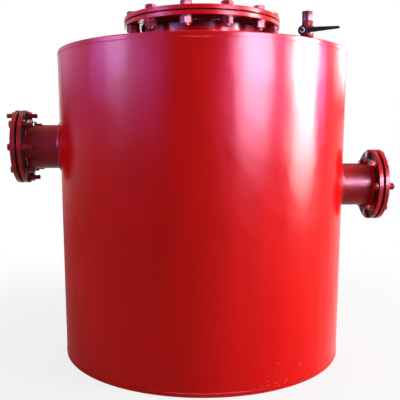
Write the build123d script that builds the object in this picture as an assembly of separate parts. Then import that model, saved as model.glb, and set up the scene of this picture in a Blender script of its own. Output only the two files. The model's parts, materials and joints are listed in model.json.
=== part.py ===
"""Water-seal explosion arrestor: a welded steel tank with two flanged side nozzles,
a bolted relief vent on top and a lever ball valve for filling it with water.

Frame: millimetres, +Z up, origin at the centre of the tank's underside.
The inlet nozzle points to -X, the outlet nozzle to +X, and the front is -Y.
"""
import os

from build123d import *

# Tank
tank_radius = 520.0
tank_height = 1096.0
shell_wall = 10.0
top_plate_thick = 16.0
bottom_plate_thick = 12.0
plate_edge_round = 3.0
shell_sheet_count = 4             # rolled sheets, so that each one is a shallow arc
shell_seam_angle = 45.0           # first seam; the front two are ground flush
long_seam_radius = 5.0            # weld bead left on the two back seams
long_seam_height = 2.0
nozzle_hole_gap = 2.5             # shell's hole round a nozzle pipe, closed by the weld

# Relief vent on the top plate
neck_radius = 213.0
neck_wall = 8.0
vent_flange_radius = 282.5
vent_plate_thick = 15.0
vent_flange_rise = 92.0           # underside of the lower ring above the top plate
diaphragm_thick = 3.0
vent_circle_radius = 257.5
vent_bolt_count = 12
vent_bolt_first_angle = 15.0      # the holes straddle the nozzle axis
vent_bolt_radius = 12.0
vent_hole_radius = 13.0
vent_hex_flats = 36.0
vent_head_height = 15.0
vent_nut_height = 20.0
vent_washer_radius = 22.0
vent_washer_thick = 4.0
vent_thread_end = 8.0             # how far a bolt stands out of its nut

# Side nozzles, both on a 159 mm pipe
pipe_radius = 79.5
pipe_wall = 6.0
inlet_height = 765.0
outlet_height = 621.0
nozzle_reach = 682.0              # tank axis to the outer face of the mating flange
side_flange_radius = 132.5
side_plate_thick = 16.0
raised_face_radius = 101.0
raised_face_height = 2.0
gasket_thick = 3.0
gasket_bore_radius = 81.5
mating_bore_radius = 80.5
pipe_setback = 6.0                # pipe end behind the flange's sealing face
side_circle_radius = 112.5
side_bolt_count = 8
side_bolt_radius = 8.0
side_hole_radius = 9.0
side_hex_flats = 24.0
side_head_height = 10.0
side_nut_height = 14.0
side_washer_radius = 15.0
side_washer_thick = 3.0
flange_weld = 9.0                 # leg of the weld between pipe and flange
inlet_thread_end = 20.0           # how far a bolt stands out of its nut
outlet_thread_end = 6.0
inlet_stud_places = [0]           # counted from the top over the far side
outlet_reversed_places = [0, 1, 2, 3, 4, 6]   # counted from the bottom over the far side

# Dip pipe inside the tank
elbow_start = 379.0               # tank axis to the elbow's first end
elbow_bend_radius = 229.0
dip_pipe_end = 200.0
notch_count = 12
notch_height = 40.0
notch_width = 26.0
outlet_pipe_start = 498.0
leg_count = 4
leg_top = 300.0
leg_width = 40.0
leg_thick = 8.0

# Filling valve, flow along Z, stem turned 30 degrees left of the front
valve_x = 390.0
valve_rise = 88.0                 # ball centre above the top plate
valve_turn = -30.0
valve_half_length = 39.0
valve_hex_flats = 41.0
barrel_radius = 26.0
barrel_half = 16.0
cone_end = 26.0
cavity_radius = 19.5
ball_radius = 18.0
ball_gap = 0.3
flow_radius = 12.0
socket_radius = 16.65
riser_radius = 16.6
riser_bore_radius = 13.6
coupling_radius = 19.5
coupling_top = 74.0
coupling_middle = 56.0
coupling_thread_radius = 15.15

# Valve stem and lever, measured outwards from the ball's centre
stem_radius = 5.5
stem_start = 18.1
boss_radius = 12.0
boss_end = 36.0
packing_start = 28.0
packing_radius = 9.0
gland_end = 42.0
gland_flats = 18.0
hub_start = 44.0
hub_end = 57.0
hub_radius = 17.0
hub_seat_radius = 16.0
stem_half_flats = 4.4
stem_thread_radius = 4.0
lever_washer_thick = 1.6
lever_nut_height = 6.5
lever_nut_flats = 13.0
lever_length = 134.0
lever_root_end = 36.0
lever_root_half_width = 8.7
lever_middle = 78.0
lever_middle_half_width = 6.8
lever_tip_half_width = 4.0
lever_thick = 8.0
stop_inner = 11.2
stop_outer = 14.2
stop_end = 48.4
stop_angle = 225.0
stop_half_angle = 10.0

# Plugged sockets on the back
drain_height = 62.0
drain_socket_radius = 21.0
drain_bore_radius = 16.65
drain_plug_flats = 36.0
level_height = 430.0
level_socket_radius = 15.0
level_bore_radius = 10.4
level_plug_flats = 24.0

slip_gap = 0.5                    # pipe to the hole that it is welded in
thread_gap = 0.1                  # between the two sides of a thread
running_gap = 0.05                # stem to its bore

inside_radius = tank_radius - shell_wall
shell_top = tank_height - top_plate_thick
vent_flange_low = tank_height + vent_flange_rise
diaphragm_low = vent_flange_low + vent_plate_thick
vent_ring_low = diaphragm_low + diaphragm_thick
vent_top = vent_ring_low + vent_plate_thick
pipe_bore = pipe_radius - pipe_wall
mating_low = nozzle_reach - side_plate_thick
sealing_face = mating_low - raised_face_height - gasket_thick
inner_flange_high = sealing_face - raised_face_height
inner_flange_low = inner_flange_high - side_plate_thick
dip_pipe_x = elbow_bend_radius - elbow_start
dip_pipe_top = inlet_height - elbow_bend_radius
far = 4 * tank_radius


# Basic solids on the Z axis

def disc(radius, low, high):
    return Pos(0, 0, (low + high) / 2) * Cylinder(radius, high - low)


def tube(outer, inner, low, high):
    return disc(outer, low, high) - disc(inner, low - 1, high + 1)


def frustum(low_radius, high_radius, low, high):
    return Pos(0, 0, (low + high) / 2) * Cone(low_radius, high_radius, high - low)


def turned(points, angle=360.0):
    """Turn an outline of radius and height about Z."""
    outline = make_face(Polyline(*points, close=True))
    return revolve(Plane.XZ * outline, Axis.Z, angle)


def hexagon(flats, low, high):
    outline = RegularPolygon(flats / 2, 6, major_radius=False)
    return Pos(0, 0, low) * extrude(outline, high - low)


def sector(inner, outer, low, high, start_angle, end_angle):
    """Part of a ring between two angles."""
    corners = [(inner, low), (outer, low), (outer, high), (inner, high)]
    return Rot(0, 0, start_angle) * turned(corners, end_angle - start_angle)


def bevelled(solid, size):
    """Break the round edges of a turned solid."""
    return chamfer(solid.edges().filter_by(GeomType.CIRCLE), size)


def hex_bolt(radius, flats, end, seat, head_height):
    """Bolt whose head stands on a seat and whose shank runs down to its end."""
    head = hexagon(flats, seat, seat + head_height)
    head &= frustum(flats / 2 + head_height * 1.6, flats / 2 * 0.97, seat, seat + head_height)
    shank = disc(radius, end + 1.5, seat + 1)
    return head + shank + frustum(radius - 1.5, radius, end, end + 1.5)


def hex_nut(radius, flats, low, high):
    middle = (low + high) / 2
    nut = hexagon(flats, low, high)
    nut &= frustum(flats / 2 * 0.97, flats / 2 + (high - low) * 0.8, low, middle) + disc(flats, middle, high)
    return nut - disc(radius, low - 1, high + 1)


def around(piece, radius, count, first_angle=0.0):
    """Copies of a piece round the Z axis."""
    step = 360 / count
    return [Rot(0, 0, first_angle + step * n) * Pos(radius, 0, 0) * piece for n in range(count)]


def group(pieces):
    """One shape that holds separate solids."""
    return Compound(children=[solid for piece in pieces for solid in piece.solids()])


# Places: a piece is built along +Z and then turned

def inlet_side(piece):
    return Pos(0, 0, inlet_height) * Rot(0, -90, 0) * piece


def outlet_side(piece):
    return Pos(0, 0, outlet_height) * Rot(0, 90, 0) * piece


def back_side(piece, height):
    return Pos(0, 0, height) * Rot(-90, 0, 0) * piece


def on_stem(piece):
    return Rot(90, 0, 0) * piece


def in_valve_place(piece):
    return Pos(valve_x, 0, tank_height + valve_rise) * Rot(0, 0, valve_turn) * piece


# Tank

def make_tank_shell():
    """Rolled sheets, butt welded, with holes for the nozzle pipes and the sockets."""
    step = 360 / shell_sheet_count
    shell = tube(tank_radius, inside_radius, bottom_plate_thick, shell_top)
    seam_x = tank_radius + long_seam_height - long_seam_radius
    long_seam = Pos(seam_x, 0, 0) * disc(long_seam_radius, bottom_plate_thick + 10, shell_top - 10)
    for n in range(2):
        shell += Rot(0, 0, shell_seam_angle + step * n) * long_seam
    pipe_hole = disc(pipe_radius + nozzle_hole_gap, tank_radius - 60, tank_radius + 20)
    shell -= inlet_side(pipe_hole)
    shell -= outlet_side(pipe_hole)
    for radius, height in ((drain_socket_radius, drain_height), (level_socket_radius, level_height)):
        shell -= back_side(disc(radius + slip_gap, tank_radius - 40, tank_radius + 20), height)
    seams = [shell_seam_angle + step * n for n in range(shell_sheet_count)]
    return group([shell & sector(1, far, -1, tank_height, seam, seam + step) for seam in seams])


def make_top_plate():
    plate = disc(tank_radius, shell_top, tank_height)
    rim = plate.edges().filter_by(GeomType.CIRCLE).group_by(Axis.Z)[-1]
    plate = fillet(rim, plate_edge_round)
    plate -= disc(neck_radius + slip_gap, shell_top - 1, tank_height + 1)
    return plate - Pos(valve_x, 0, 0) * disc(riser_radius + slip_gap, shell_top - 1, tank_height + 1)


def make_bottom_plate():
    plate = disc(tank_radius, 0, bottom_plate_thick)
    rim = plate.edges().filter_by(GeomType.CIRCLE).group_by(Axis.Z)[0]
    return chamfer(rim, 1.5)


# Relief vent

def on_vent_circle(piece):
    return around(piece, vent_circle_radius, vent_bolt_count, vent_bolt_first_angle)


def make_vent_neck():
    neck_top = diaphragm_low - 2
    neck = disc(neck_radius, shell_top, neck_top)
    neck += frustum(neck_radius + 9, neck_radius, tank_height, tank_height + 9)
    neck += frustum(neck_radius, neck_radius + 6, vent_flange_low - 6, vent_flange_low)
    return neck - disc(neck_radius - neck_wall, shell_top - 1, neck_top + 1)


def make_vent_ring(bore_radius, low, edge):
    """Bolted ring of the vent; with no bore and no bevel it is the rubber sheet."""
    high = low + (vent_plate_thick if edge else diaphragm_thick)
    ring = disc(vent_flange_radius, low, high)
    if edge:
        ring = bevelled(ring, edge)
    if bore_radius:
        ring -= disc(bore_radius, low - 1, high + 1)
    for hole in on_vent_circle(disc(vent_hole_radius, low - 1, high + 1)):
        ring -= hole
    return ring


def make_vent_fasteners():
    nut_high = vent_flange_low - vent_washer_thick
    nut_low = nut_high - vent_nut_height
    bolt = hex_bolt(vent_bolt_radius, vent_hex_flats, nut_low - vent_thread_end, vent_top, vent_head_height)
    nut = hex_nut(vent_bolt_radius + thread_gap, vent_hex_flats, nut_low, nut_high)
    washer = tube(vent_washer_radius, vent_hole_radius, nut_high, vent_flange_low)
    pieces = {"vent_bolts": bolt, "vent_nuts": nut, "vent_washers": washer}
    return {name: group(on_vent_circle(piece)) for name, piece in pieces.items()}


# Side nozzles

def make_nozzle_pipe(start):
    """Pipe through the tank's wall, with its weld to the shell and to the flange."""
    end = sealing_face - pipe_setback
    tank_weld = frustum(pipe_radius + 11, pipe_radius, tank_radius - 9, tank_radius + 10)
    tank_weld -= Rot(0, 90, 0) * Cylinder(tank_radius, far)
    pipe = disc(pipe_radius, start, end) + tank_weld
    pipe += frustum(pipe_radius, pipe_radius + flange_weld, inner_flange_low - flange_weld, inner_flange_low)
    return pipe - disc(pipe_bore, start - 1, end + 1)


def make_side_flange(low, face_low, bore_radius):
    """Ring flange with a raised sealing face on one of its sides."""
    plate = bevelled(disc(side_flange_radius, low, low + side_plate_thick), 1.5)
    plate += disc(raised_face_radius, face_low, face_low + raised_face_height)
    plate -= disc(bore_radius, low - 20, low + 40)
    for hole in around(disc(side_hole_radius, low - 20, low + 40), side_circle_radius, side_bolt_count):
        plate -= hole
    return plate


def end_for_end(piece):
    """Turn a fastener round across the flange joint, so that its head is on the inside."""
    return Pos(0, 0, inner_flange_low + nozzle_reach) * Rot(180, 0, 0) * piece


def at_places(piece, places):
    """Copies of a fastener at some of a side flange's holes."""
    placed = around(piece, side_circle_radius, side_bolt_count)
    return [placed[n] for n in places]


def make_side_fasteners(thread_end, reversed_places, stud_places):
    """Bolts with their nuts on the inside, some turned round, and studs with a nut at both ends."""
    nut_high = inner_flange_low - side_washer_thick
    nut_low = nut_high - side_nut_height
    end = nut_low - thread_end
    bolt = hex_bolt(side_bolt_radius, side_hex_flats, end, nozzle_reach, side_head_height)
    stud = bevelled(disc(side_bolt_radius, end, nozzle_reach + inner_flange_low - end), 1.5)
    nut = hex_nut(side_bolt_radius + thread_gap, side_hex_flats, nut_low, nut_high)
    washer = tube(side_washer_radius, side_hole_radius, nut_high, inner_flange_low)
    plain_places = [n for n in range(side_bolt_count) if n not in reversed_places + stud_places]
    inner_places = plain_places + stud_places
    outer_places = reversed_places + stud_places
    bolts = at_places(bolt, plain_places) + at_places(end_for_end(bolt), reversed_places)
    return {
        "bolts": group(bolts + at_places(stud, stud_places)),
        "nuts": group(at_places(nut, inner_places) + at_places(end_for_end(nut), outer_places)),
        "washers": group(at_places(washer, inner_places) + at_places(end_for_end(washer), outer_places)),
    }


def make_nozzle(side, place, pipe_start, fasteners):
    pieces = {
        "pipe": make_nozzle_pipe(pipe_start),
        "flange": make_side_flange(inner_flange_low, inner_flange_high, pipe_radius + slip_gap),
        "gasket": tube(raised_face_radius, gasket_bore_radius, sealing_face, sealing_face + gasket_thick),
        "mating_flange": make_side_flange(mating_low, mating_low - raised_face_height, mating_bore_radius),
    }
    pieces.update(fasteners)
    return {f"{side}_{name}": place(piece) for name, piece in pieces.items()}


# Dip pipe inside the tank

def make_elbow():
    ring = Circle(pipe_radius) - Circle(pipe_bore)
    start = Plane((-elbow_start, 0, inlet_height), x_dir=(0, 1, 0), z_dir=(1, 0, 0))
    return revolve(start * ring, Axis((-elbow_start, 0, dip_pipe_top), (0, 1, 0)), 90)


def make_dip_pipe():
    pipe = tube(pipe_radius, pipe_bore, dip_pipe_end, dip_pipe_top)
    half = notch_width / 2
    low = dip_pipe_end - 1
    corners = [(-half, low), (0, dip_pipe_end + notch_height), (half, low)]
    notch = extrude(Plane.XZ * make_face(Polyline(*corners, close=True)), 2 * pipe_radius)
    for n in range(notch_count):
        pipe -= Rot(0, 0, 360 / notch_count * n) * notch
    return Pos(dip_pipe_x, 0, 0) * pipe


def make_dip_pipe_legs():
    """Flat bars that hold the dip pipe up from the bottom plate."""
    height = leg_top - bottom_plate_thick
    bar = Pos(pipe_radius + leg_width / 2 - 2, 0, bottom_plate_thick + height / 2)
    bar = bar * Box(leg_width + 4, leg_thick, height)
    bar -= disc(pipe_radius, 0, leg_top + 1)
    bars = [Rot(0, 0, 45 + 360 / leg_count * n) * bar for n in range(leg_count)]
    return Pos(dip_pipe_x, 0, 0) * group(bars)


# Filling valve: ball at the origin, flow along Z, stem towards -Y

def make_riser():
    """Pipe from the top plate up to the valve, with its weld."""
    top = tank_height + valve_rise - cone_end - 0.5
    riser = disc(riser_radius, shell_top, top)
    riser += frustum(riser_radius + 6, riser_radius, tank_height, tank_height + 6)
    return Pos(valve_x, 0, 0) * (riser - disc(riser_bore_radius, shell_top - 1, top + 1))


def make_valve_body():
    corners = [(0, -cone_end), (20, -cone_end), (barrel_radius, -barrel_half), (barrel_radius, barrel_half),
               (0, barrel_half)]
    body = turned(corners) + hexagon(valve_hex_flats, -valve_half_length, 1 - cone_end)
    body += on_stem(disc(boss_radius, 0, boss_end))
    body += on_stem(disc(hub_seat_radius, 0, packing_start + 1))
    body += on_stem(sector(stop_inner, stop_outer, packing_start, stop_end,
                           stop_angle - stop_half_angle, stop_angle + stop_half_angle))
    body -= disc(cavity_radius, -barrel_half, barrel_half + 1)
    body -= disc(flow_radius, -valve_half_length, 0)
    body -= disc(socket_radius, -valve_half_length - 1, -cone_end)
    body -= on_stem(disc(stem_radius + running_gap, 0, boss_end + 1))
    return body - on_stem(disc(packing_radius, packing_start, boss_end + 1))


def make_valve_end():
    """Upper end of the valve, screwed to the body after the ball is in."""
    end = turned([(0, barrel_half), (barrel_radius, barrel_half), (21, cone_end), (0, cone_end)])
    end += hexagon(valve_hex_flats, cone_end - 1, valve_half_length)
    end -= disc(flow_radius, 0, valve_half_length)
    return end - disc(socket_radius, cone_end, valve_half_length + 1)


def make_seat():
    """Seat ring above the ball."""
    seat = tube(cavity_radius - thread_gap, flow_radius + 0.5, 8, barrel_half - 0.05)
    return seat - Sphere(ball_radius + ball_gap)


def make_ball():
    ball = Sphere(ball_radius) - Rot(0, 90, 0) * Cylinder(flow_radius, far)
    return ball - Pos(0, -ball_radius, 0) * Box(far, 8, 5)


def make_stem():
    """Stem with a tang in the ball's slot, two flats for the lever and a threaded end."""
    thread_end = hub_end + lever_washer_thick + lever_nut_height + 2
    tang_length = stem_start - ball_radius + 4.3
    tang = Pos(0, 0, stem_start + 0.5 - tang_length / 2) * Box(9.6, 4.8, tang_length)
    flatted = disc(stem_radius, hub_start - 0.5, hub_end - 0.5) & Box(2 * stem_half_flats, far, far)
    stem = tang + disc(stem_radius, stem_start, hub_start - 0.5) + flatted
    return on_stem(stem + disc(stem_thread_radius, hub_start, thread_end))


def make_lever():
    """Round hub with a tapering arm; a slot under the hub runs over the body's stop."""
    hub = bevelled(disc(hub_radius, hub_start, hub_end), 1.2)
    tip_start = lever_length - lever_tip_half_width
    side = [(0, lever_root_half_width), (lever_root_end, lever_root_half_width),
            (lever_middle, lever_middle_half_width), (tip_start, lever_tip_half_width)]
    other_side = [(x, -y) for x, y in side]
    tip = ThreePointArc(side[-1], (lever_length, 0), other_side[-1])
    outline = make_face(tip + Polyline(*side) + Polyline(*other_side) + Line(side[0], other_side[0]))
    lever = hub + Pos(0, 0, hub_start + 3) * extrude(outline, lever_thick)
    lever -= disc(stem_radius, hub_start - 1, hub_end + 1) & Box(2 * stem_half_flats, far, far)
    travel = 90
    lever -= sector(stop_inner - 0.4, stop_outer + 0.4, hub_start - 1, stop_end + 0.6,
                    stop_angle - travel - stop_half_angle - 3, stop_angle + stop_half_angle + 2)
    return on_stem(lever)


def make_coupling():
    """Pipe coupling on the valve; its upper thread is left free for the fill hose."""
    coupling = bevelled(disc(coupling_radius, valve_half_length, coupling_top), 1.2)
    coupling -= disc(socket_radius, valve_half_length - 1, coupling_middle)
    return coupling - disc(coupling_thread_radius, coupling_middle - 1, coupling_top + 1)


def make_filling_valve():
    nut_low = hub_end + lever_washer_thick
    seat = make_seat()
    stem_bore = stem_radius + running_gap
    gland = hexagon(gland_flats, boss_end, gland_end) - disc(stem_bore + 0.2, boss_end - 1, gland_end + 1)
    lever_nut = hex_nut(stem_thread_radius + thread_gap, lever_nut_flats, nut_low, nut_low + lever_nut_height)
    pieces = {
        "valve_body": make_valve_body(),
        "valve_end": make_valve_end(),
        "upper_seat": seat,
        "lower_seat": Rot(180, 0, 0) * seat,
        "valve_ball": make_ball(),
        "valve_stem": make_stem(),
        "stem_packing": on_stem(tube(packing_radius - thread_gap, stem_bore, packing_start, boss_end)),
        "gland_nut": on_stem(gland),
        "valve_lever": make_lever(),
        "lever_washer": on_stem(tube(9, stem_thread_radius + thread_gap, hub_end, nut_low)),
        "lever_nut": on_stem(lever_nut),
        "close_nipple": tube(riser_radius, riser_bore_radius, cone_end + 0.5, coupling_middle - 0.5),
        "fill_coupling": make_coupling(),
    }
    return {name: in_valve_place(piece) for name, piece in pieces.items()}


# Plugged sockets on the back

def make_socket(radius, bore):
    socket = disc(radius, tank_radius - 14, tank_radius + 28)
    weld = frustum(radius + 7, radius, tank_radius - 3, tank_radius + 7)
    weld -= Rot(90, 0, 0) * Cylinder(tank_radius, far)
    return socket + weld - disc(bore, 0, 2 * tank_radius)


def make_plug(bore, flats):
    thread = disc(bore - thread_gap, tank_radius + 4, tank_radius + 29)
    return thread + hexagon(flats, tank_radius + 28, tank_radius + 42)


def make_back_sockets():
    sizes = (("drain", drain_height, drain_socket_radius, drain_bore_radius, drain_plug_flats),
             ("level", level_height, level_socket_radius, level_bore_radius, level_plug_flats))
    pieces = {}
    for name, height, radius, bore, flats in sizes:
        pieces[f"{name}_socket"] = back_side(make_socket(radius, bore), height)
        pieces[f"{name}_plug"] = back_side(make_plug(bore, flats), height)
    return pieces


def build():
    os.makedirs("parts", exist_ok=True)
    parts = {
        "tank_shell": make_tank_shell(),
        "top_plate": make_top_plate(),
        "bottom_plate": make_bottom_plate(),
        "vent_neck": make_vent_neck(),
        "vent_flange": make_vent_ring(neck_radius + slip_gap, vent_flange_low, 1.5),
        "relief_diaphragm": make_vent_ring(0, diaphragm_low, 0),
        "hold_down_ring": make_vent_ring(neck_radius - neck_wall, vent_ring_low, 1.5),
        "inlet_elbow": make_elbow(),
        "dip_pipe": make_dip_pipe(),
        "dip_pipe_legs": make_dip_pipe_legs(),
        "fill_riser": make_riser(),
    }
    parts.update(make_vent_fasteners())
    inlet_fasteners = make_side_fasteners(inlet_thread_end, [], inlet_stud_places)
    outlet_fasteners = make_side_fasteners(outlet_thread_end, outlet_reversed_places, [])
    parts.update(make_nozzle("inlet", inlet_side, elbow_start, inlet_fasteners))
    parts.update(make_nozzle("outlet", outlet_side, outlet_pipe_start, outlet_fasteners))
    parts.update(make_filling_valve())
    parts.update(make_back_sockets())
    for name, piece in parts.items():
        export_step(piece, f"parts/{name}.step")
    print(len(parts), "parts written")


build()
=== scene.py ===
# Red water-seal explosion arrestor: enamel, welds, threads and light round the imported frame.
import json
import math

import bpy
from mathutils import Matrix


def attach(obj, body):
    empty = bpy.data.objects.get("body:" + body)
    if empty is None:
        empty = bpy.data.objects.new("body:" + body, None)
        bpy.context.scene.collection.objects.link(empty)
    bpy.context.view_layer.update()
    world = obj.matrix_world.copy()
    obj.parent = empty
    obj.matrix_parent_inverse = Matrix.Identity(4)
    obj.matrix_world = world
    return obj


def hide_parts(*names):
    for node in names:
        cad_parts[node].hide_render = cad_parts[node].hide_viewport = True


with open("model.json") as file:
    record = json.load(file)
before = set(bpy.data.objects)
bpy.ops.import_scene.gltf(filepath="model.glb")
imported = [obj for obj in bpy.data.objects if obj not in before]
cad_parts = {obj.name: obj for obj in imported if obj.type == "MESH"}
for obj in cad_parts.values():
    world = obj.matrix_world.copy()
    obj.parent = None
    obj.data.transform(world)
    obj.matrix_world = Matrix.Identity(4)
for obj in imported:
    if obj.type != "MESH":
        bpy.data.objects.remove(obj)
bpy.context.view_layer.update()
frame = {"nodes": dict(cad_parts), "record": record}


nodes = frame["nodes"]
bpy.ops.object.select_all(action="DESELECT")
print("frame loaded:", len(nodes), "nodes")


# Camera, set up from the tank's outline in the picture
camera = {
    "place": (-0.1402, -2.2192, 0.7925),
    "pitchDown": 0.150,
    "turn": -0.05236,
    "lens": 52.44,
    "shift": (0.0118, 0.0683),
}


def addCamera():
    bpy.ops.object.camera_add(
        location=camera["place"],
        rotation=(math.pi / 2 - camera["pitchDown"], 0, camera["turn"]))
    made = bpy.context.object
    made.data.lens = camera["lens"]
    made.data.shift_x, made.data.shift_y = camera["shift"]
    bpy.context.scene.camera = made


addCamera()
print("camera set")


# Shader maths: one value on the board, with the usual operators
class Wire:
    def __init__(self, board, socket):
        self.board = board
        self.socket = socket

    def maths(self, operation, *values, clamp=False):
        return self.board.add("Math", {"operation": operation, "use_clamp": clamp}, dict(enumerate(values)))

    def __add__(self, other):
        return self.maths("ADD", self, other)

    __radd__ = __add__

    def __sub__(self, other):
        return self.maths("SUBTRACT", self, other)

    def __rsub__(self, other):
        return self.maths("SUBTRACT", other, self)

    def __mul__(self, other):
        return self.maths("MULTIPLY", self, other)

    __rmul__ = __mul__

    def __truediv__(self, other):
        return self.maths("DIVIDE", self, other)

    def __pow__(self, other):
        return self.maths("POWER", self, other)

    def clamped(self):
        return self.maths("ADD", self, 0.0, clamp=True)

    def most(self, other):
        return self.maths("MAXIMUM", self, other)

    # 0 below low and 1 above high, with a soft step between
    def step(self, low, high):
        return self.board.add(
            "MapRange", {"interpolation_type": "SMOOTHSTEP"},
            {"Value": self, "From Min": low, "From Max": high})


class Finish:
    # a material's node board
    def __init__(self, name):
        self.material = bpy.data.materials.new(name)
        self.material.use_nodes = True
        self.tree = self.material.node_tree
        self.tree.nodes.clear()

    def add(self, kind, settings=None, inputs=None, output=0):
        made = self.tree.nodes.new("ShaderNode" + kind)
        for key, value in (settings or {}).items():
            setattr(made, key, value)
        for key, value in (inputs or {}).items():
            if isinstance(value, Wire):
                self.tree.links.new(value.socket, made.inputs[key])
            else:
                made.inputs[key].default_value = value
        return Wire(self, made.outputs[output]) if made.outputs else None

    def place(self):
        return self.add("TexCoord", output="Object")

    def spread(self, vector, scale):
        return self.add("VectorMath", {"operation": "MULTIPLY"}, {0: vector, 1: scale})

    def noise(self, scale, detail=3.0, vector=None, roughness=0.5):
        return self.add("TexNoise", None, {
            "Vector": vector or self.place(), "Scale": scale, "Detail": detail, "Roughness": roughness})

    def cells(self, scale, vector=None):
        return self.add("TexVoronoi", None, {"Vector": vector or self.place(), "Scale": scale})

    def mix(self, factor, first, second):
        return self.add(
            "Mix", {"data_type": "RGBA"}, {0: factor, 6: first, 7: second}, output=2)

    def axis(self, vector, which):
        return self.add("SeparateXYZ", None, {0: vector}, output=which)

    def bump(self, height, distance, normal=None, strength=1.0):
        inputs = {"Strength": strength, "Distance": distance, "Height": height}
        if normal:
            inputs["Normal"] = normal
        return self.add("Bump", None, inputs)

    def coat(self, **inputs):
        return self.add("BsdfPrincipled", None, {key.replace("_", " "): value for key, value in inputs.items()})

    def shown(self, shader):
        self.add("OutputMaterial", None, {"Surface": shader})
        return self.material

    def surface(self, **inputs):
        return self.shown(self.coat(**inputs))


def grey(value):
    return (value, value, value, 1.0)


dullRoughness = 0.75
enamel = {
    "red": (0.62, 0.0035, 0.0015, 1.0),
    "deepRed": (0.54, 0.0020, 0.0010, 1.0),
    "dust": (0.55, 0.30, 0.26, 1.0),
    # the primer colour shows in the pinholes, and is also the painted shade high on the neck and under the rings
    "primerAndShade": (0.035, 0.002, 0.006, 1.0),
    "peelScale": 210.0,               # orange peel, bumps per metre
    "peelHeight": 0.00018,
    "waveScale": 9.0,                 # slow waves of the rolled plate
    "waveHeight": 0.0035,
    "roughness": 0.17,
    "gloss": 0.08,
}


def tankEnamel():
    board = Finish("tankEnamel")
    place = board.place()
    height = board.axis(place, 2)
    runs = board.noise(5.0, 4.0, board.spread(place, (3.0, 3.0, 0.5)))
    clouds = board.noise(2.3, 3.0)
    colour = board.mix((runs * 0.6 + clouds * 0.6).step(0.35, 0.85), enamel["deepRed"], enamel["red"])
    facing = board.axis(board.add("NewGeometry", output="Normal"), 2)
    dust = facing.step(0.75, 0.98) * (0.05 + 0.22 * board.noise(14.0, 8.0, None, 0.65).step(0.45, 0.80))
    # faint scuffs low down, mostly right of the front, where the tank was slung and set down
    right = board.axis(place, 0).step(0.02, 0.34) * (1 - board.axis(place, 1).step(-0.30, 0.10))
    scuffs = (1 - height.step(0.02, 0.17)) * (0.25 + 0.75 * right)
    scuffs = scuffs * board.noise(60.0, 5.0, board.spread(place, (1, 1, 2.5))).step(0.60, 0.74)
    colour = board.mix(dust.most(scuffs * 0.30), colour, enamel["dust"])
    # pinholes in the coat, thickest on the upper wall
    pinholes = (1 - board.cells(75.0).step(0.06, 0.15)) * board.noise(6.0, 2.0).step(0.50, 0.62)
    pinholes = pinholes * height.step(0.55, 0.95)
    colour = board.mix(pinholes * 0.6, colour, enamel["primerAndShade"])
    # painted shade: darker high on the neck and on the faces that look down under the rings, where shade falls
    shade = height.step(1.158, 1.174) * (1 - height.step(1.1862, 1.1885))
    under = (-1.0 * facing).step(0.5, 0.9) * height.step(1.10, 1.12)
    colour = board.mix(shade.most(under) * 0.93, colour, enamel["primerAndShade"])
    peel = board.noise(enamel["peelScale"], 2.0)
    waves = board.noise(enamel["waveScale"], 2.0, board.spread(place, (1.0, 1.0, 0.6)))
    normal = board.bump(peel, enamel["peelHeight"], board.bump(waves, enamel["waveHeight"]))
    normal = board.bump(1 - pinholes, 0.0006, normal)
    glossy = board.coat(
        Base_Color=colour,
        Roughness=enamel["roughness"] + 0.10 * board.noise(21.0, 4.0),
        Specular_IOR_Level=enamel["gloss"],
        Normal=normal)
    # the gloss is gone from the faces that look up, under dust, and low on the inlet side
    dull = board.coat(Base_Color=colour, Roughness=dullRoughness, Specular_IOR_Level=0.0, Normal=normal)
    weathered = (board.axis(place, 0) * -1.0).step(0.24, 0.50) * (1 - height.step(0.45, 0.85))
    share = facing.step(0.70, 0.95).most(weathered * 0.8)
    return board.shown(board.add("MixShader", None, {0: share, 1: glossy, 2: dull}))


flangePaint = {
    "red": (0.42, 0.005, 0.004, 1.0),
    "dark": (0.24, 0.003, 0.004, 1.0),
    # face: the painted shade colour for the faces towards the tank
    "face": (0.030, 0.001, 0.008, 1.0),
    "peelHeight": 0.00025,
    "roughness": 0.20,
}


def brushedEnamel(name, colours):
    board = Finish(name)
    place = board.place()
    patches = board.noise(26.0, 5.0).step(0.36, 0.66)
    colour = board.mix(patches, colours["dark"], colours["red"])
    roughness = colours["roughness"] + 0.18 * board.noise(33.0, 4.0)
    if "face" in colours:
        # painted shade: the faces towards the tank are darker than the rims, and rougher
        along = board.axis(board.add("NewGeometry", output="Normal"), 0)
        shadeTowardTank = (along * board.axis(place, 0) * -1.5).step(0.5, 0.9)
        colour = board.mix(shadeTowardTank, colour, colours["face"])
        roughness = roughness + 0.42 * shadeTowardTank
    peel = board.noise(210.0, 3.0)
    strokes = board.noise(45.0, 3.0, board.spread(place, (1.0, 0.4, 2.4)))
    normal = board.bump(peel, colours["peelHeight"], board.bump(strokes, colours["peelHeight"] * 4))
    glossy = board.coat(Base_Color=colour, Roughness=roughness, Specular_IOR_Level=0.14, Normal=normal)
    dull = board.coat(Base_Color=colour, Roughness=dullRoughness, Specular_IOR_Level=0.0, Normal=normal)
    upward = board.axis(board.add("NewGeometry", output="Normal"), 2).step(0.90, 0.98)
    return board.shown(board.add("MixShader", None, {0: upward, 1: glossy, 2: dull}))


fastenerPaint = {"red": (0.34, 0.005, 0.006, 1.0), "dark": (0.13, 0.003, 0.006, 1.0),
                 "peelHeight": 0.0002, "roughness": 0.22}
pipePaint = {"red": (0.27, 0.003, 0.005, 1.0), "dark": (0.20, 0.002, 0.006, 1.0),
             "peelHeight": 0.0002, "roughness": 0.27}
valvePaint = {"red": (0.20, 0.004, 0.012, 1.0), "dark": (0.06, 0.003, 0.014, 1.0),
              "peelHeight": 0.00015, "roughness": 0.18}


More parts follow.
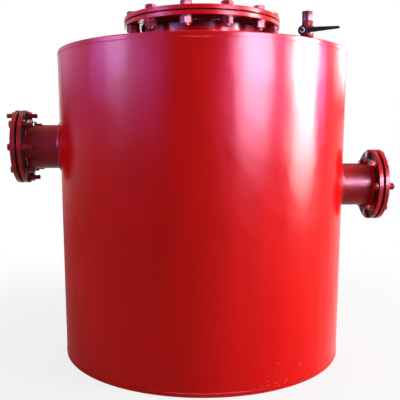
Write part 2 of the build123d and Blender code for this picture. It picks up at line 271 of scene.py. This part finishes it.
def smearedSteel(name, bright, paint, paintFrom, paintTo):
    # zinc or bare steel with red paint brushed over part of it
    board = Finish(name)
    grain = board.noise(300.0, 3.0)
    metal = board.mix(grain, (bright[0] * 0.7, bright[1] * 0.7, bright[2] * 0.7, 1.0), bright)
    covered = board.noise(60.0, 4.0).step(paintFrom, paintTo)
    return board.surface(
        Base_Color=board.mix(covered, metal, paint),
        Metallic=1 - covered,
        Roughness=0.28 + 0.15 * grain,
        Normal=board.bump(grain * 0.4 + covered, 0.0002))


def blackRubber():
    board = Finish("blackRubber")
    grain = board.noise(260.0, 4.0)
    colour = board.mix(board.noise(18.0, 4.0), (0.006, 0.006, 0.009, 1.0), (0.022, 0.020, 0.026, 1.0))
    return board.surface(
        Base_Color=colour, Roughness=0.55 + 0.2 * grain, Specular_IOR_Level=0.0, Normal=board.bump(grain, 0.0001))


def innerCoat():
    board = Finish("innerCoat")
    blotches = board.noise(17.0, 6.0).step(0.3, 0.7)
    colour = board.mix(blotches, (0.13, 0.035, 0.02, 1.0), (0.26, 0.07, 0.04, 1.0))
    return board.surface(
        Base_Color=colour, Roughness=0.6 + 0.2 * blotches, Normal=board.bump(board.noise(120.0, 4.0), 0.0004))


def waxyPlastic():
    board = Finish("waxyPlastic")
    clouds = board.noise(90.0, 3.0)
    return board.surface(
        Base_Color=board.mix(clouds, (0.72, 0.70, 0.62, 1.0), (0.84, 0.83, 0.78, 1.0)),
        Roughness=0.35 + 0.15 * clouds)


def ballChrome():
    board = Finish("ballChrome")
    smears = board.noise(150.0, 3.0)
    return board.surface(
        Base_Color=board.mix(smears, (0.62, 0.62, 0.65, 1.0), (0.80, 0.80, 0.82, 1.0)),
        Metallic=1.0, Roughness=0.08 + 0.14 * smears)


def leverPaint():
    board = Finish("leverPaint")
    worn = board.noise(70.0, 5.0).step(0.66, 0.78)
    colour = board.mix(board.noise(30.0, 3.0), (0.006, 0.005, 0.006, 1.0), (0.020, 0.014, 0.018, 1.0))
    return board.surface(
        Base_Color=board.mix(worn, colour, (0.30, 0.28, 0.26, 1.0)),
        Metallic=worn * 0.8, Roughness=0.32 + 0.2 * board.noise(110.0, 3.0), Specular_IOR_Level=0.06,
        Normal=board.bump(board.noise(240.0, 3.0), 0.00015))


finishes = {
    "tank_paint": tankEnamel(),
    "flange_paint": brushedEnamel("flangeEnamel", flangePaint),
    "fastener_paint": brushedEnamel("fastenerEnamel", fastenerPaint),
    "zinc_steel": smearedSteel("zincSteel", (0.56, 0.55, 0.52, 1.0), (0.22, 0.004, 0.006, 1.0), 0.30, 0.42),
    "bare_steel": smearedSteel("bareSteel", (0.60, 0.60, 0.60, 1.0), (0.22, 0.004, 0.006, 1.0), 0.60, 0.72),
    "black_rubber": blackRubber(),
    "inner_coat": innerCoat(),
    "valve_paint": brushedEnamel("valveEnamel", valvePaint),
    "seat_plastic": waxyPlastic(),
    "ball_chrome": ballChrome(),
    "lever_paint": leverPaint(),
}

# the washer on the stem is bright and the stem's end and nut are blackened, the bolts at the inlet are painted over
pipeEnamel = brushedEnamel("pipeEnamel", pipePaint)
finishOf = {
    "inlet_pipe": pipeEnamel,
    "outlet_pipe": pipeEnamel,
    "lever_washer": smearedSteel("washerZinc", (0.72, 0.70, 0.68, 1.0), (0.22, 0.004, 0.006, 1.0), 0.80, 0.90),
    "lever_nut": finishes["lever_paint"],
    "valve_stem": finishes["lever_paint"],
    "inlet_bolts": finishes["fastener_paint"],
}
for part in frame["record"]["subparts"]:
    if part["node"] in nodes:
        mesh = nodes[part["node"]].data
        mesh.materials.clear()
        mesh.materials.append(finishOf.get(part["node"], finishes[part["material_slot"]]))
print("finishes made:", len(finishes))


# Making: small helps for work by hand
tankBody = "tank"
leverBody = "lever"


def nothingSelected():
    bpy.ops.object.select_all(action="DESELECT")


def pick(*things):
    nothingSelected()
    for thing in things:
        thing.select_set(True)
    bpy.context.view_layer.objects.active = things[0]


def settled():
    # the active piece's place goes into its mesh
    bpy.ops.object.transform_apply(location=True, rotation=True, scale=True)
    return bpy.context.object


def applied(piece, kind, **settings):
    pick(piece)
    bpy.ops.object.modifier_add(type=kind)
    modifier = piece.modifiers[-1]
    for key, value in settings.items():
        if isinstance(value, tuple):
            for n, number in enumerate(value):
                getattr(modifier, key)[n] = number
        else:
            setattr(modifier, key, value)
    bpy.ops.object.modifier_apply(modifier=modifier.name)


def inEditMode(piece, *steps):
    pick(piece)
    bpy.ops.object.mode_set(mode="EDIT")
    bpy.ops.mesh.select_all(action="SELECT")
    for step, settings in steps:
        step(**settings)
    bpy.ops.object.mode_set(mode="OBJECT")


def closeAndTurnOut(piece, gap=0.00001, holes=0):
    steps = [(bpy.ops.mesh.remove_doubles, {"threshold": gap})]
    if holes:
        steps.append((bpy.ops.mesh.fill_holes, {"sides": holes}))
    steps.append((bpy.ops.mesh.normals_make_consistent, {"inside": False}))
    inEditMode(piece, *steps)


def finishPiece(piece, name, slot, body=tankBody, smoothAngle=None, finish=None):
    pick(piece)
    settled()
    piece.name = name
    piece.data.materials.clear()
    piece.data.materials.append(finish or finishes[slot])
    if smoothAngle is None:
        bpy.ops.object.shade_smooth()
    else:
        bpy.ops.object.shade_smooth_by_angle(angle=math.radians(smoothAngle))
    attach(piece, body)
    return piece


def joined(pieces):
    pick(*pieces)
    if len(pieces) > 1:
        bpy.ops.object.join()
    return bpy.context.object


def copyOf(piece):
    pick(piece)
    bpy.ops.object.duplicate()
    return bpy.context.object


# Weld beads: one ripple, repeated along the path of the bead
beads = {
    "neckFootBead": {"path": ("ring", 0.2165, (0, 0, 1.0995)), "radius": 0.0066, "ripple": 0.0060},
    "neckTopBead": {"path": ("ring", 0.2158, (0, 0, 1.1858)), "radius": 0.0050, "ripple": 0.0052},
    "inletTankBead": {"path": ("saddleX", 0.0845, -1, 0.765), "radius": 0.0068, "ripple": 0.0062},
    "outletTankBead": {"path": ("saddleX", 0.0845, 1, 0.621), "radius": 0.0068, "ripple": 0.0062},
    "inletFlangeBead": {"path": ("collar", 0.0832, -0.6395, 0.765), "radius": 0.0064, "ripple": 0.0058},
    "outletFlangeBead": {"path": ("collar", 0.0832, 0.6395, 0.621), "radius": 0.0064, "ripple": 0.0058},
    "riserBead": {"path": ("ring", 0.0190, (0.390, 0, 1.0980)), "radius": 0.0044, "ripple": 0.0042},
    "drainBead": {"path": ("saddleY", 0.0240, 1, 0.062), "radius": 0.0046, "ripple": 0.0042},
    "levelBead": {"path": ("saddleY", 0.0180, 1, 0.430), "radius": 0.0046, "ripple": 0.0042},
    "topSeamBead": {"path": ("ring", 0.5176, (0, 0, 1.0800)), "radius": 0.0031, "ripple": 0.0050},
    "bottomSeamBead": {"path": ("ring", 0.5172, (0, 0, 0.0125)), "radius": 0.0040, "ripple": 0.0050},
    "leftLongSeamBead": {"path": ("upright", 0.5170, 135, (0.022, 1.070)), "radius": 0.0056, "ripple": 0.0062},
    "rightLongSeamBead": {"path": ("upright", 0.5170, 45, (0.022, 1.070)), "radius": 0.0056, "ripple": 0.0062},
}
beadShape = {"sides": 12, "hollow": 0.66, "crest": 0.60, "tankRadius": 0.5215}


def beadPath(kind, size, *place):
    # a mesh ring or line is bent to the joint and made a curve
    if kind == "upright":
        angle = math.radians(place[0])
        low, high = place[1]
        bpy.ops.mesh.primitive_circle_add(vertices=4, radius=size)
        path = bpy.context.object
        bpy.ops.object.mode_set(mode="EDIT")
        bpy.ops.mesh.delete(type="ONLY_FACE")
        bpy.ops.object.mode_set(mode="OBJECT")
        for n, vertex in enumerate(path.data.vertices):
            vertex.co = (size * math.cos(angle), size * math.sin(angle), low + (high - low) * n / 3)
            vertex.select = False
        for edge in path.data.edges:
            edge.select = {edge.vertices[0], edge.vertices[1]} == {0, 3}
        bpy.ops.object.mode_set(mode="EDIT")
        bpy.ops.mesh.select_mode(type="EDGE")
        bpy.ops.mesh.delete(type="EDGE")
        bpy.ops.object.mode_set(mode="OBJECT")
    else:
        bpy.ops.mesh.primitive_circle_add(vertices=256 if size > 0.15 else 128, radius=size)
        path = bpy.context.object
        for vertex in path.data.vertices:
            across, up = vertex.co.x, vertex.co.y
            sag = math.sqrt(beadShape["tankRadius"] ** 2 - across ** 2)
            if kind == "ring":
                vertex.co = (across + place[0][0], up + place[0][1], place[0][2])
            elif kind == "collar":
                vertex.co = (place[0], across, up + place[1])
            elif kind == "saddleX":
                vertex.co = (sag * place[0], across, up + place[1])
            else:
                vertex.co = (across, sag * place[0], up + place[1])
    bpy.ops.object.convert(target="CURVE")
    return bpy.context.object


def addBead(name, bead):
    nothingSelected()
    path = beadPath(*bead["path"])
    spline = path.data.splines[0]
    length = spline.calc_length()
    count = round(length / bead["ripple"])
    step = length / count
    low, high = bead["radius"] * beadShape["hollow"], bead["radius"]
    rise = step * beadShape["crest"]
    halves = []
    for first, last, start, depth in ((low, high, 0, rise), (high, low, rise, step - rise)):
        bpy.ops.mesh.primitive_cone_add(
            vertices=beadShape["sides"], radius1=first, radius2=last, depth=depth, end_fill_type="NOTHING",
            location=(start + depth / 2, 0, 0), rotation=(0, math.pi / 2, 0))
        halves.append(settled())
    ripple = joined(halves)
    applied(ripple, "ARRAY", count=count, use_relative_offset=False, use_constant_offset=True,
            constant_offset_displace=(step, 0, 0), use_merge_vertices=True, merge_threshold=step * 0.05)
    applied(ripple, "CURVE", object=path)
    closeAndTurnOut(ripple, step * 0.08, 0 if spline.use_cyclic_u else beadShape["sides"])
    nothingSelected()
    path.select_set(True)
    bpy.ops.object.delete()
    return finishPiece(ripple, name, "flange_paint" if "Flange" in name else "tank_paint", smoothAngle=38)


for beadName, bead in beads.items():
    addBead(beadName, bead)
print("weld beads laid:", len(beads))


# Screw threads on the bolt ends
threads = {
    "ventBoltThreads": {"radius": 0.0118, "pitch": 0.0030, "depth": 0.0011, "slot": "fastener_paint"},
    "inletBoltThreads": {"radius": 0.0078, "pitch": 0.0020, "depth": 0.0008, "slot": "zinc_steel"},
    "outletBoltThreads": {"radius": 0.0078, "pitch": 0.0020, "depth": 0.0008, "slot": "zinc_steel"},
}
sideJoint = {"boltCircle": 0.1125, "middle": 0.6625, "nutFace": 0.0365}     # metres from the joint's middle


def threadRidge(thread, length):
    # a triangle turned up into a ridge along +Z, from 0 to the length
    nothingSelected()
    half = thread["pitch"] * 0.46
    bpy.ops.mesh.primitive_circle_add(
        vertices=3, radius=1, location=(thread["radius"], 0, half), rotation=(math.pi / 2, 0, 0))
    ridge = settled()
    tip = max(vertex.co.z for vertex in ridge.data.vertices)
    for vertex in ridge.data.vertices:
        outer = vertex.co.z > tip - 0.01
        side = 0 if outer else math.copysign(half, vertex.co.x - thread["radius"])
        vertex.co = (thread["radius"] + (thread["depth"] if outer else -0.0002), 0, half + side)
    turns = max(1, int(length / thread["pitch"]) - 1)
    applied(ridge, "SCREW", screw_offset=thread["pitch"], iterations=turns, steps=18, render_steps=18)
    closeAndTurnOut(ridge, 0.000001, 3)
    return ridge


def onVentCircle(ridge, low):
    made = []
    for n in range(12):
        angle = math.radians(15 + 30 * n)
        copy = copyOf(ridge)
        copy.location = (0.2575 * math.cos(angle), 0.2575 * math.sin(angle), low)
        copy.rotation_euler = (0, 0, angle * 2.3)
        made.append(settled())
    return made


def onSideJoint(ridge, side, height, outward, n, start):
    # side is -1 at the inlet and 1 at the outlet; place n counts as the bolts do
    angle = math.radians(45 * n)
    copy = copyOf(ridge)
    up = sideJoint["boltCircle"] * math.cos(angle) * -side
    copy.location = (side * start, sideJoint["boltCircle"] * math.sin(angle), height + up)
    copy.rotation_euler = (0, side * outward * math.pi / 2, 0)
    return settled()


def addThreads():
    vent = threads["ventBoltThreads"]
    ridge = threadRidge(vent, 0.0090)
    finishPiece(joined(onVentCircle(ridge, 1.1566)), "ventBoltThreads", vent["slot"], smoothAngle=40)
    bpy.data.objects.remove(ridge)
    sides = (("inletBoltThreads", -1, 0.765, 0.020, [0], list(range(8))),
             ("outletBoltThreads", 1, 0.621, 0.006, [0, 1, 2, 3, 4, 6], [5, 7]))
    for name, side, height, stand, outer, inner in sides:
        thread = threads[name]
        ridge = threadRidge(thread, stand)
        made = [onSideJoint(ridge, side, height, -1, n, sideJoint["middle"] - sideJoint["nutFace"] + 0.0005)
                for n in inner]
        made += [onSideJoint(ridge, side, height, 1, n, sideJoint["middle"] + sideJoint["nutFace"] - 0.0005)
                 for n in outer]
        finishPiece(joined(made), name, thread["slot"], smoothAngle=40)
        bpy.data.objects.remove(ridge)


addThreads()
print("threads cut:", len(threads))


# Edges softened by paint and casting; each piece stands for its node
soft = {
    "valve_body": {"width": 0.0010, "body": tankBody},
    "valve_end": {"width": 0.0010, "body": tankBody},
    "fill_coupling": {"width": 0.0008, "body": tankBody},
    "gland_nut": {"width": 0.0005, "body": tankBody},
    "valve_lever": {"width": 0.0011, "body": leverBody},
    "lever_nut": {"width": 0.0004, "body": leverBody},
}
slotOf = {part["node"]: part["material_slot"] for part in frame["record"]["subparts"]}


def camelName(node):
    first, *rest = node.split("_")
    return first + "".join(word.capitalize() for word in rest)


def soften(node, plan):
    piece = copyOf(nodes[node])
    inEditMode(
        piece,
        (bpy.ops.mesh.remove_doubles, {"threshold": 0.000005}),
        (bpy.ops.mesh.dissolve_limited, {"angle_limit": math.radians(0.6)}))
    applied(piece, "BEVEL", width=plan["width"], segments=3, limit_method="ANGLE", angle_limit=math.radians(32))
    finishPiece(
        piece, camelName(node) + "Soft", slotOf[node], plan["body"], smoothAngle=40, finish=finishOf.get(node))
    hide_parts(node)


for node, plan in soft.items():
    soften(node, plan)
print("edges softened:", len(soft))


# Stage: pale floor, white surroundings, lamps round the tank
floorPlan = {"radius": 9.0, "paleness": 0.42, "whiteFrom": 0.8, "whiteTo": 2.2, "whiteLeast": 0.82}


def addFloor():
    bpy.ops.mesh.primitive_circle_add(vertices=96, radius=floorPlan["radius"], fill_type="NGON")
    floor = bpy.context.object
    floor.name = "floor"
    board = Finish("paleFloor")
    place = board.place()
    distance = board.add("VectorMath", {"operation": "LENGTH"}, {0: place}, output=1)
    rays = board.add("LightPath", output="Is Camera Ray").most(
        board.add("LightPath", output="Is Glossy Ray")).most(
        board.add("LightPath", output="Is Transmission Ray"))
    pale = board.add("BsdfDiffuse", None, {"Color": grey(floorPlan["paleness"])})
    white = board.add("Emission", None, {"Color": grey(1.0), "Strength": 1.0})
    least = floorPlan["whiteLeast"]
    share = rays * (least + (1 - least) * distance.step(floorPlan["whiteFrom"], floorPlan["whiteTo"]))
    both = board.add("MixShader", None, {0: share, 1: pale, 2: white})
    board.add("OutputMaterial", None, {"Surface": both})
    floor.data.materials.append(board.material)


roomLight = {"diffuseLevel": 0.13}


def addWorld():
    world = bpy.data.worlds.new("paleRoom")
    bpy.context.scene.world = world
    world.use_nodes = True
    tree = world.node_tree
    tree.nodes.clear()
    rays = tree.nodes.new("ShaderNodeLightPath")
    seen = tree.nodes.new("ShaderNodeMath")
    seen.operation = "MAXIMUM"
    seenOrClear = tree.nodes.new("ShaderNodeMath")
    seenOrClear.operation = "MAXIMUM"
    level = tree.nodes.new("ShaderNodeMapRange")
    level.inputs["To Min"].default_value = roomLight["diffuseLevel"]
    level.inputs["To Max"].default_value = 1.0
    background = tree.nodes.new("ShaderNodeBackground")
    background.inputs["Color"].default_value = grey(1.0)
    output = tree.nodes.new("ShaderNodeOutputWorld")
    tree.links.new(rays.outputs["Is Camera Ray"], seen.inputs[0])
    tree.links.new(rays.outputs["Is Glossy Ray"], seen.inputs[1])
    tree.links.new(seen.outputs[0], seenOrClear.inputs[0])
    tree.links.new(rays.outputs["Is Transmission Ray"], seenOrClear.inputs[1])
    tree.links.new(seenOrClear.outputs[0], level.inputs["Value"])
    tree.links.new(level.outputs[0], background.inputs["Strength"])
    tree.links.new(background.outputs[0], output.inputs["Surface"])


# bright windows that only the gloss shows; angles from the tank, 0 towards the camera and 90 to the right
windows = {
    "leftHaze": {"from": -128, "to": -22, "low": 0.96, "high": 1.75, "glow": 44.0, "tint": (0.34, 0.24, 1.0)},
    "rightHaze": {"from": 8, "to": 108, "low": 0.45, "high": 1.75, "glow": 34.0, "tint": (0.80, 0.22, 1.0)},
    "farLeftWindow": {"from": -136, "to": -84, "low": 0.92, "high": 1.75, "glow": 4.0, "tint": (0.66, 0.56, 1.0)},
    "leftWindow": {"from": -72, "to": -48, "low": 0.95, "high": 1.75, "glow": 100.0, "tint": (0.42, 0.44, 1.0)},
    "frontWindow": {"from": 22, "to": 50, "low": 0.50, "high": 1.75, "glow": 205.0, "tint": (1.0, 0.68, 1.0)},
    "rightWindow": {"from": 63, "to": 88, "low": 0.15, "high": 1.75, "glow": 245.0, "tint": (1.0, 0.95, 1.0)},
    "farRightWindow": {"from": 108, "to": 145, "low": 0.98, "high": 1.75, "glow": 16.0, "tint": (1.0, 0.95, 1.0)},
    "backWindow": {"from": 168, "to": 196, "low": 0.50, "high": 1.75, "glow": 36.0, "tint": (1.0, 1.0, 1.0)},
}
windowRing = 3.0
cameraAngle = -3.0       # the camera's direction from the tank, off the front


def glowingPane(name, window):
    # brightest in the middle and at the top, fading to the sides and the sill
    board = Finish(name)
    place = board.add("TexCoord", output="UV")
    across = board.axis(place, 0)
    up = board.axis(place, 1)
    edge = across.step(0.0, 0.22) * (1 - across.step(0.78, 1.0)) * up.step(0.0, 0.92)
    colour = board.mix(edge, (0.0, 0.0, 0.0, 1.0), (*window["tint"], 1.0))
    glow = board.add("Emission", None, {"Color": colour, "Strength": window["glow"]})
    clear = board.add("BsdfTransparent")
    front = board.add("NewGeometry", output="Backfacing")
    board.add("OutputMaterial", None, {"Surface": board.add("MixShader", None, {0: front, 1: glow, 2: clear})})
    return board.material


def addWindows():
    for name, window in windows.items():
        middle = math.radians((window["from"] + window["to"]) / 2 + cameraAngle)
        reach = windowRing + (0.4 if "Haze" in name else 0)
        wide = 2 * reach * math.tan(math.radians(window["to"] - window["from"]) / 2)
        tall = window["high"] - window["low"]
        bpy.ops.mesh.primitive_plane_add(
            size=1,
            location=(reach * math.sin(middle), -reach * math.cos(middle), (window["high"] + window["low"]) / 2),
            rotation=(math.pi / 2, 0, middle + math.pi))
        pane = bpy.context.object
        pane.name = name
        pane.scale = (wide, tall, 1)
        pane.visible_camera = False
        pane.visible_diffuse = False
        pane.visible_shadow = False
        pane.data.materials.append(glowingPane(name + "Glow", window))


# soft light on the paint; watts over a square this wide
lamps = {
    "keyLamp": {"angle": 72, "distance": 3.2, "height": 2.0, "size": 1.8, "watts": 208.0, "tint": (1.0, 0.98, 0.97)},
    "leftLamp": {"angle": -60, "distance": 3.0, "height": 2.9, "size": 1.6, "watts": 50.0, "tint": (0.92, 0.88, 1.0)},
    "backLamp": {"angle": 175, "distance": 3.2, "height": 2.0, "size": 1.8, "watts": 90.0, "tint": (1.0, 1.0, 1.0)},
    "topLamp": {"angle": 20, "distance": 0.5, "height": 3.4, "size": 2.0, "watts": 30.0, "tint": (1.0, 1.0, 1.0)},
}
lampAim = 0.75           # height on the tank's axis that the lamps point at


def addLamps():
    for name, lamp in lamps.items():
        angle = math.radians(lamp["angle"] + cameraAngle)
        tilt = math.atan2(lamp["distance"], lamp["height"] - lampAim)
        bpy.ops.object.light_add(
            type="AREA",
            location=(lamp["distance"] * math.sin(angle), -lamp["distance"] * math.cos(angle), lamp["height"]),
            rotation=(tilt, 0, angle))
        made = bpy.context.object
        made.name = name
        made.data.size = lamp["size"]
        made.data.energy = lamp["watts"]
        made.data.color = lamp["tint"]
        made.visible_glossy = False


addFloor()
addWorld()
addWindows()
addLamps()
print("stage set")

bpy.context.scene.view_settings.view_transform = "Standard"
